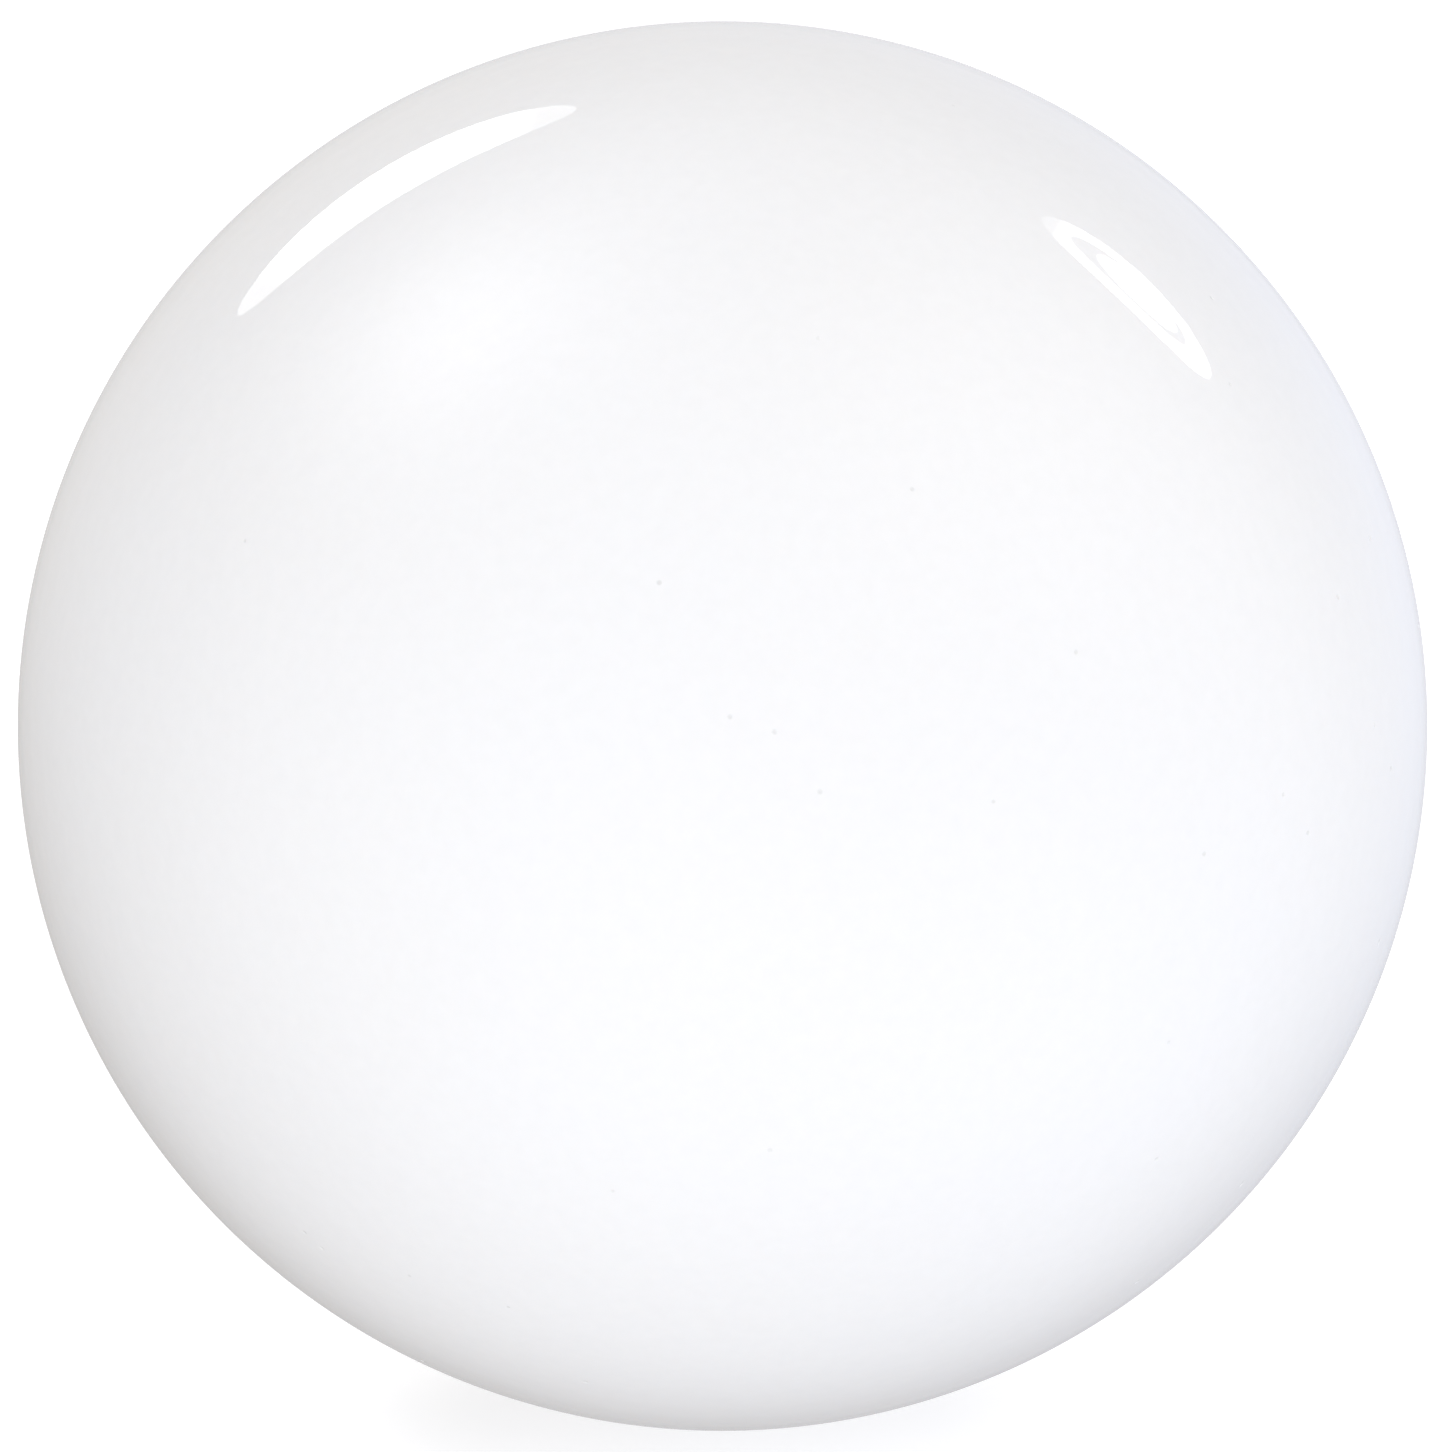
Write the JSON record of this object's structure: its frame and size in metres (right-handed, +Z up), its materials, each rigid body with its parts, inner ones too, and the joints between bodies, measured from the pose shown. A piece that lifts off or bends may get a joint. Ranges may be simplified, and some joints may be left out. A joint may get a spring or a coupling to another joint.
{
  "type": "cue ball",
  "caption": "Plain white polished resin ball, solid all through and unmarked, that a cue strikes and that rolls on a pool table's cloth.",
  "frame": {"origin": "centre of the ball", "axes": "a ball has no front: +Z up, away from the cloth it rests on; +X and +Y are any two directions level with the cloth"},
  "size_m": [0.0572, 0.0572, 0.0572],
  "materials": {
    "phenolic_resin": "polished"
  },
  "bodies": {
    "root": {"cue_ball": "phenolic_resin"}
  },
  "joints": []
}
